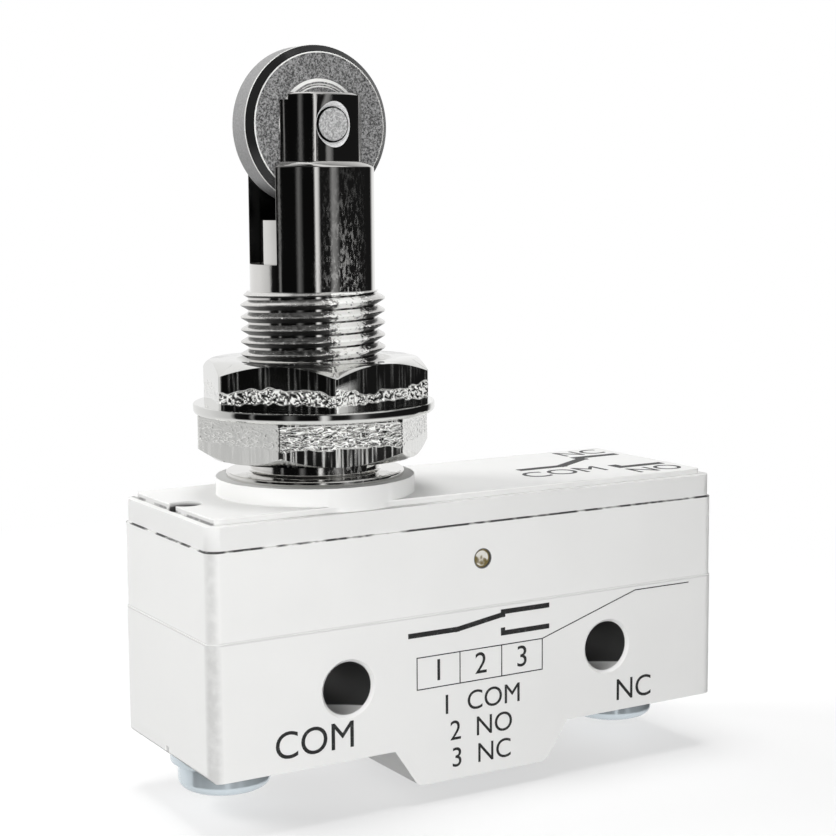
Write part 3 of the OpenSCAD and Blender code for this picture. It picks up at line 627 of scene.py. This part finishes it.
def hex_nut(node, turn, skin, calm, upward):
    """A hexagon nut with its skin, one bevelled side and a bore. The flats in calm are barely torn."""
    low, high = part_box(node)
    foot, head = low.z / MM, high.z / MM
    bpy.ops.object.select_all(action="DESELECT")
    bpy.ops.mesh.primitive_cylinder_add(vertices=6, radius=NUT_CORNER_R * MM, depth=high.z - low.z,
                                        end_fill_type="NOTHING", location=(axis.x, 0, (low.z + high.z) / 2),
                                        rotation=(0, 0, math.radians(turn + 30)))
    nut = bpy.context.object
    nut.name = node + "_hex"
    bpy.ops.object.transform_apply(location=True, rotation=True, scale=True)
    bpy.ops.object.mode_set(mode="EDIT")
    bpy.ops.mesh.select_mode(type="VERT")
    bpy.ops.mesh.select_all(action="SELECT")
    bpy.ops.mesh.subdivide(number_cuts=CUTS)
    bpy.ops.mesh.select_all(action="DESELECT")
    bpy.ops.object.mode_set(mode="OBJECT")
    pale = []
    for vertex in nut.data.vertices:
        across = Vector((vertex.co.x, vertex.co.y, 0)) - axis
        rise = vertex.co.z / MM - foot
        flat = round((math.degrees(math.atan2(across.y, across.x)) - turn - 30) / 60) % 6
        facing = math.radians(turn + 30 + 60 * flat)
        outward = Vector((math.cos(facing), math.sin(facing), 0))
        depth, light = skin((across.y * outward.x - across.x * outward.y) / MM, rise, flat)
        if flat in calm:
            depth, light = 0.2 * depth, 0.4 * light
        vertex.select = rise > head - foot - 0.001
        rim = max(0, across.length / MM - NUT_FLAT_R) * NUT_BEVEL
        across -= outward * depth * MM
        across *= min(1, NUT_CLIP_R * MM / across.length)
        height = rise * (1 - rim / (head - foot)) + (0 if upward else rim)
        vertex.co = axis + across + Vector((0, 0, foot + height)) * MM
        pale.append(light)
    mouth_r = NUT_BORE_R + NUT_BORE_SOFT
    inwards = [(NUT_FLAT_R, head), (mouth_r, head), (NUT_BORE_R, head - NUT_BORE_SOFT),
               (NUT_BORE_R, foot + NUT_BORE_SOFT), (mouth_r, foot), (NUT_FLAT_R, foot)]
    for radius, height in inwards:
        bpy.ops.object.mode_set(mode="EDIT")
        bpy.ops.mesh.extrude_region()
        bpy.ops.object.mode_set(mode="OBJECT")
        if radius == NUT_FLAT_R and (height == head) != upward:
            radius = NUT_CLIP_R
        for vertex in nut.data.vertices:
            if vertex.select:
                across = Vector((vertex.co.x, vertex.co.y, 0)) - axis
                swing = (math.degrees(math.atan2(across.y, across.x)) - turn) % 60 - 30
                reach = min(radius, APOTHEM / math.cos(math.radians(swing)) - NUT_INSET)
                vertex.co = axis + across.normalized() * reach * MM + Vector((0, 0, height * MM))
    bpy.ops.object.mode_set(mode="EDIT")
    bpy.ops.mesh.select_all(action="DESELECT")
    bpy.ops.mesh.select_mode(type="EDGE")
    bpy.ops.mesh.select_non_manifold()
    bpy.ops.mesh.bridge_edge_loops()
    bpy.ops.mesh.select_all(action="SELECT")
    bpy.ops.mesh.normals_make_consistent(inside=False)
    bpy.ops.object.mode_set(mode="OBJECT")
    torn = nut.data.attributes.new("torn", "FLOAT", "POINT")
    torn.data.foreach_set("value", pale + [0.0] * (len(nut.data.vertices) - len(pale)))
    only(nut)
    bpy.ops.object.shade_smooth_by_angle(angle=math.radians(40))
    fit(nut, nut_finish, "housing", "nut_nickel", node)


nut_finish = plated("nut_nickel", (0.78, 0.78, 0.76), 0.05, 0.2, 0.1, pale_skin=torn_skin)
hex_nut("lower_nut", -13, lower_skin, calm=(0, 2, 3, 5), upward=False)
hex_nut("upper_nut", 13, upper_skin, calm=(2, 5), upward=True)

low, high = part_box("panel_washer")
DISC_FOOT, DISC_HEAD, DISC_R = low.z / MM, high.z / MM, high.y / MM
DISC_HOLE_R, ROLL, BURR = 6.05, 0.42, 0.12
turn_under = [(DISC_R - ROLL + ROLL * math.sin(t), DISC_FOOT + ROLL - ROLL * math.cos(t))
              for t in (math.radians(15 * i) for i in range(7))]
washer = lathe("panel_washer_disc", [
    (DISC_HOLE_R, DISC_FOOT + BURR), (DISC_HOLE_R + BURR, DISC_FOOT), *turn_under,
    (DISC_R, DISC_HEAD - BURR), (DISC_R - BURR / 3, DISC_HEAD - BURR / 3), (DISC_R - BURR, DISC_HEAD),
    (DISC_HOLE_R + BURR, DISC_HEAD), (DISC_HOLE_R, DISC_HEAD - BURR)], axis)
soften(washer, 0)
washer_nickel = plated("washer_nickel", (0.80, 0.80, 0.78), 0.05, 0.18, 0.1)
fit(washer, washer_nickel, "housing", "nut_nickel", "panel_washer")

# The plunger: a turned and plated rod, milled across its top to a fork for the roller. It slides in
# the bushing and is held there by its collar. Its pin holes are bevelled; the walls of its slot carry a
# painted shade.
low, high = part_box("roller")
ROLLER_Z = (low.z + high.z) / 2 / MM
ROLLER_R = (high.z - low.z) / 2 / MM
PIN_R, FORK_Y, EAR_Y, HOLE_BEVEL = 1.4, 1.95, 3.4, 0.42
wheel_axis = axis + Vector((0, 0, ROLLER_Z * MM))


def grained(name, light, dark, metal, depth):
    """Pressed or peened metal: a close grain of pale and dark specks."""
    finish, n = new_finish(name)
    grain = n.cloud(n.add("TexCoord").outputs["Object"], 6500.0, 4.0, 0.75)
    n.join(n.ramp(grain, [(0.42, dark), (0.60, light)]), "Base Color")
    n.shader.inputs["Metallic"].default_value = metal
    n.join(n.spread(grain, 0.35, 0.65, 0.5, 0.35), "Roughness")
    n.join(n.bump(grain, depth, 0.03), "Normal")
    return finish


peened = grained("peened_metal", 0.88, 0.72, 0.2, 0.2)
fork = edge_broken("plunger", "plunger_fork", 0.06)
fit(fork, nickel, "plunger", "nickel", "plunger")
fork.data.materials.append(peened)
fork.data.materials.append(milled)
# Painted shade: the inner walls and floor of the fork take the dark slot finish.
for face in fork.data.polygons:
    off = face.center - wheel_axis
    if abs(off.y) < FORK_Y * MM:
        face.material_index = 2 if abs(face.normal.y) > 0.9 or face.normal.z > 0.5 else 0
    elif (PIN_R < math.hypot(off.x, off.z) / MM < PIN_R + HOLE_BEVEL and 0.3 < abs(face.normal.y) < 0.93
          and abs(off.y) > EAR_Y * MM and off.x * face.normal.x + off.z * face.normal.z < 0):
        face.material_index = 1

# The roller: a wheel pressed and sintered from steel powder, with a raised hub. Its bevels are oiled
# black; its corner bands and the slopes of its hub are pale, a painted highlight. It turns on the cross
# pin.
HALF, HUB_R, HUB_SOFT, RIM_SOFT, BORE, CORNER_BAND = 1.75, 3.7, 0.26, 0.60, 1.45, 0.07
HUB_FACE, GROOVE_FLOOR = HALF + 0.10, HALF + 0.03
OILY = (0.03, 0.03, 0.03)


def mirrored(half):
    """The outline of one half, followed by its mirror image."""
    return half + [(radius, -height) for radius, height in reversed(half)]


inner, outer = ROLLER_R - RIM_SOFT, HALF - RIM_SOFT
groove = [(HUB_R - 0.68, HUB_FACE), (HUB_R - 0.58, GROOVE_FLOOR),
          (HUB_R - 0.48, GROOVE_FLOOR), (HUB_R - 0.40, HUB_FACE)]
side = [(BORE, HUB_FACE), *groove, (HUB_R - HUB_SOFT, HUB_FACE), (HUB_R, HALF),
        (inner - CORNER_BAND, HALF), (inner + CORNER_BAND / 2, HALF - CORNER_BAND / 2),
        (ROLLER_R - CORNER_BAND / 2, outer + CORNER_BAND / 2), (ROLLER_R, outer - CORNER_BAND)]
wheel = lathe("roller_wheel", mirrored(side), wheel_axis, along=(0, 1, 0), steps=160)
soften(wheel, 0, angle=15)
fit(wheel, grained("sintered_steel", 0.40, 0.05, 0.1, 0.5), "roller", "sintered_steel", "roller")
# The last of these finishes is a painted highlight, for the corner bands and the slopes of the hub.
for finish in (grained("roller_tread", 0.27, 0.21, 0.1, 0.15),
               plated("oiled_bevel", OILY, 0.15, 0.3, 0.1, metal=0.5),
               plated("pale_corner_highlight", (0.85, 0.85, 0.83), 0.25, 0.4, 0.1, metal=0.3)):
    wheel.data.materials.append(finish)
for face in wheel.data.polygons:
    off = (face.center - wheel_axis) / MM
    spot, lean = math.hypot(off.x, off.z), abs(face.normal.y)
    if lean < 0.1:
        face.material_index = 1 if spot > HUB_R else 0
    elif lean > 0.98:
        face.material_index = 0
    elif spot < HUB_R:
        face.material_index = 3
    else:
        face.material_index = 2 if inner + CORNER_BAND / 2 < spot < ROLLER_R - CORNER_BAND / 2 else 3

# The cross pin: a hardened pin pressed through both ears. Its ends are peened flush, which leaves a
# rough disc, a ring groove and a bead of metal rolled into the bevel of the hole.
_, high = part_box("roller_pin")
PIN_END = high.y / MM
PEEN_R, RING_R, RING_Y = PIN_R - 0.13, PIN_R + 0.03, PIN_END - 0.16
BEAD_CREST, BEAD_BACK, BEAD_LIP, BEAD_FOOT = 3.84, 3.80, 3.72, PIN_END - 0.40
end = [(0, PIN_END), (PIN_R - 0.12, PIN_END), (PIN_R - 0.08, RING_Y), (RING_R, RING_Y),
       (PIN_R + 0.08, BEAD_CREST), (PIN_R + 0.16, BEAD_BACK), (PIN_R + 0.24, BEAD_LIP), (PIN_R, BEAD_FOOT)]
pin = lathe("roller_pin_turned", mirrored(end), wheel_axis, along=(0, 1, 0), steps=64)
soften(pin, 0)
fit(pin, grained("pin_steel", 0.74, 0.30, 0.2, 0.8), "plunger", "pin_steel", "roller_pin")
pin.data.materials.append(peened)
pin.data.materials.append(plated("groove_dark", OILY, 0.3, 0.5, 0.1))
for face in pin.data.polygons:
    off = (face.center - wheel_axis) / MM
    spot = math.hypot(off.x, off.z)
    if abs(off.y) > PIN_END - 0.3:
        face.material_index = 0 if spot < PEEN_R else 2 if spot < RING_R else 1

# The terminal screws and clamp washers: pan head screws, zinc plated and passivated blue, one for
# each of the three terminals under the case.
zinc = plated("blue_zinc", (0.72, 0.80, 0.85), 0.12, 0.28, 0.1, metal=0.65)
fit(edge_broken("terminal_screws", "terminal_screws_pan", 0.05), zinc, "housing", "zinc", "terminal_screws")
fit(edge_broken("screw_washers", "screw_washers_flat", 0.06), zinc, "housing", "zinc", "screw_washers")

# The printed marks: dark ink, pad printed on the front and on the plateau and a little broken. They
# are a plain changeover symbol, a box of terminal numbers with a leader line, and terminal names.
ink, n = new_finish("pad_ink")
grain = n.cloud(n.add("TexCoord").outputs["Object"], 5000.0, 3.0, 0.7)
n.join(n.ramp(grain, [(0.35, 0.010), (0.58, 0.018), (0.70, 0.09)]), "Base Color")
n.join(n.spread(grain, 0.3, 0.7, 0.45, 0.7), "Roughness")
INK, HAIRLINE, CAPITAL_SHARE = 0.03, 0.09, 0.7
strokes, words = [], []


def stroke(start, end, width, on_top=False):
    """A straight stroke between two points in millimetres, on the front (x, z) or on top (x, y)."""
    start, end = Vector(start), Vector(end)
    middle, run = (start + end) / 2, end - start
    size = (run.length + width) * MM
    lean = math.atan2(run.y, run.x)
    bpy.ops.object.select_all(action="DESELECT")
    if on_top:
        bpy.ops.mesh.primitive_cube_add(size=1, location=(middle.x * MM, middle.y * MM, PLATEAU_Z * MM),
                                        rotation=(0, 0, lean), scale=(size, width * MM, INK * MM))
    else:
        bpy.ops.mesh.primitive_cube_add(size=1, location=(middle.x * MM, -WALL_Y * MM, middle.y * MM),
                                        rotation=(0, -lean, 0), scale=(size, INK * MM, width * MM))
    bpy.ops.object.transform_apply(location=True, rotation=True, scale=True)
    line = bpy.context.object
    for vertex in line.data.vertices:
        # Rounded, so that strokes that cross share one flat face and melt without a seam.
        vertex.co = [round(place, 7) for place in vertex.co]
    strokes.append(line)


def lettering(word, height, x, level, on_top=False):
    """A word with capitals of a height in millimetres, centred on a point of the front or the top."""
    bpy.ops.object.select_all(action="DESELECT")
    if on_top:
        bpy.ops.object.text_add(location=(x * MM, level * MM, PLATEAU_Z * MM))
    else:
        bpy.ops.object.text_add(location=(x * MM, -WALL_Y * MM, level * MM), rotation=(math.pi / 2, 0, 0))
    text = bpy.context.object
    text.data.body = word
    text.data.size = height / CAPITAL_SHARE * MM
    text.data.align_x, text.data.align_y = "CENTER", "CENTER"
    text.data.extrude = INK / 2 * MM
    text.data.resolution_u = 6
    bpy.ops.object.convert(target="MESH")
    bpy.ops.object.transform_apply(location=True, rotation=True, scale=True)
    words.append(bpy.context.object)


def changeover(left, right, low, high, width, on_top=False):
    """The sign of a changeover contact: a fed arm that rests on the upper of two contacts."""
    third, middle = (right - left) / 3, (low + high) / 2
    stroke((left, middle), (left + third, middle), width, on_top)
    stroke((left + third, middle), (right - third, high - 0.25 * (high - middle)), width, on_top)
    for level, tick in ((high, -1), (low, 1)):
        tip = level + tick * 0.28 * (high - middle)
        stroke((right - third, level), (right, level), width, on_top)
        stroke((right - third, level), (right - third, tip), width, on_top)


def print_marks(name):
    """Melt the strokes made so far into one and join the words to it, as one printed piece."""
    piece = strokes[0]
    for line in strokes[1:]:
        carve(piece, line, "UNION")
    bpy.ops.object.mode_set(mode="EDIT")
    bpy.ops.mesh.select_all(action="SELECT")
    bpy.ops.mesh.dissolve_limited(angle_limit=math.radians(0.5))
    bpy.ops.object.mode_set(mode="OBJECT")
    bpy.ops.object.select_all(action="DESELECT")
    for mark in (piece, *words):
        mark.select_set(True)
    bpy.context.view_layer.objects.active = piece
    bpy.ops.object.join()
    piece.name = name
    bpy.ops.object.mode_set(mode="EDIT")
    bpy.ops.mesh.select_all(action="SELECT")
    bpy.ops.mesh.remove_doubles(threshold=0.0005 * MM)
    bpy.ops.mesh.normals_make_consistent(inside=False)
    bpy.ops.object.mode_set(mode="OBJECT")
    fit(piece, ink, "housing", "case_plastic")
    strokes.clear()
    words.clear()


changeover(-7.0, 6.4, 2.6, 4.4, 0.42)
BOX_LEFT, BOX_RIGHT, BOX_TOP, BOX_FOOT = -6.4, 5.9, 1.6, -1.05
LEADER_BEND, LEADER_END = (15.7, 4.6), (21.6, 4.6)
corners = [(BOX_LEFT, BOX_TOP), (BOX_RIGHT, BOX_TOP), (BOX_RIGHT, BOX_FOOT), (BOX_LEFT, BOX_FOOT)]
for corner, following in zip(corners, corners[1:] + corners[:1]):
    stroke(corner, following, HAIRLINE)
for number, x in enumerate((-4.35, -0.25, 3.85), start=1):
    lettering(str(number), 1.8, x, 0.27)
for x in (-2.3, 1.8):
    stroke((x, BOX_TOP), (x, BOX_FOOT), HAIRLINE)
stroke((BOX_RIGHT, BOX_TOP), LEADER_BEND, HAIRLINE)
stroke(LEADER_BEND, LEADER_END, HAIRLINE)
for word, level in (("1  COM", -2.75), ("2  NO", -5.05), ("3  NC", -7.35)):
    lettering(word, 1.65, -0.2, level)
lettering("COM", 2.2, -15.7, -3.8)
lettering("NC", 1.9, 15.6, -4.15)
print_marks("front_marks")

changeover(9.8, 22.3, -3.4, 3.4, 0.9, on_top=True)
lettering("COM", 2.6, 12.2, -3.0, on_top=True)
lettering("NC", 2.4, 20.2, 5.7, on_top=True)
lettering("NO", 2.4, 20.2, -5.8, on_top=True)
print_marks("top_marks")

# The anchor pin: a thin brass rod, pressed through the case from front to back and cut flush. It keeps
# its solid. Its ends are bright but for a stain and a dark rim.
TARNISH_START, TARNISH_FULL = 0.60, 0.66


def dress(node, finish):
    """A CAD node takes a finish on all its material slots."""
    for slot in nodes[node].material_slots:
        slot.material = finish


def pin_tarnish(n, place):
    """Clean, pale metal on the pin's end, but for its darkened rim and a stain across."""
    xyz = n.add("SeparateXYZ", {0: place}).outputs
    off = far_from(n, xyz["X"], n.math("SUBTRACT", xyz["Z"], ANCHOR_Z * MM))
    return n.math("MULTIPLY", n.spread(off, TARNISH_FULL * MM, TARNISH_START * MM, 0.0, 1.0),
                  n.spread(n.cloud(place, 900.0, 2.0), 0.36, 0.46, 0.0, 0.85))


dress("anchor_pin", plated("pin_brass", (0.42, 0.33, 0.14), 0.25, 0.4, 0.1, metal=0.6, pale_skin=pin_tarnish))

# What the closed case holds: bent brass straps, a turned brass follower and rivet, the stamped copper
# blade, silver contacts riveted in place and the moulded button. Out of sight, they keep their solids.
brass = plated("bare_brass", (0.82, 0.70, 0.44), 0.25, 0.4, 0.1, metal=0.5)
for node in ("spring_follower", "blade_rivet", "com_terminal", "no_terminal", "nc_terminal"):
    dress(node, brass)
silver = plated("contact_silver", (0.85, 0.85, 0.83), 0.2, 0.35, 0.1)
for node in ("moving_contact", "no_contact", "nc_contact"):
    dress(node, silver)
dress("snap_blade", plated("blade_copper", (0.72, 0.46, 0.27), 0.2, 0.35, 0.1))
dress("push_pin", moulded("button_resin", (0.30, 0.03, 0.02), 0.1))

# The overtravel spring: a coil of hard wire in the hollow plunger, with closed ends. It is squeezed
# between the roof of that hollow and the flange of the follower.
low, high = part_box("overtravel_spring")
WIRE_R, OPEN_TURNS, TURN_GAP, RING, STEPS = 0.3, 4, 0.02, 12, 40
COIL_R = (high.x - low.x) / 2 / MM - WIRE_R
bpy.ops.object.select_all(action="DESELECT")
bpy.ops.mesh.primitive_circle_add(vertices=RING, radius=WIRE_R * MM, location=(COIL_R * MM, 0, 0),
                                  rotation=(math.pi / 2, 0, 0))
coil = bpy.context.object
coil.name = "overtravel_coil"
bpy.ops.object.transform_apply(location=True, rotation=True, scale=True)
applied(coil, "SCREW", axis="Z", screw_offset=0.0, iterations=OPEN_TURNS + 2, steps=STEPS,
        render_steps=STEPS, use_merge_vertices=False)
shut = 2 * WIRE_R + TURN_GAP
rise = ((high.z - low.z) / MM - 2 * WIRE_R - 2 * shut) / OPEN_TURNS
for vertex in coil.data.vertices:
    along = vertex.index // RING / STEPS
    first, last = min(along, 1), max(along - 1 - OPEN_TURNS, 0)
    lift = shut * first + rise * min(max(along - 1, 0), OPEN_TURNS) + shut * last
    vertex.co += axis + Vector((0, 0, low.z + (WIRE_R + lift) * MM))
capped(coil)
soften(coil, 0)
spring_wire = plated("spring_wire", (0.42, 0.42, 0.43), 0.2, 0.3, 0.1)
fit(coil, spring_wire, "push_button", "spring_steel", "overtravel_spring")
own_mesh(coil)
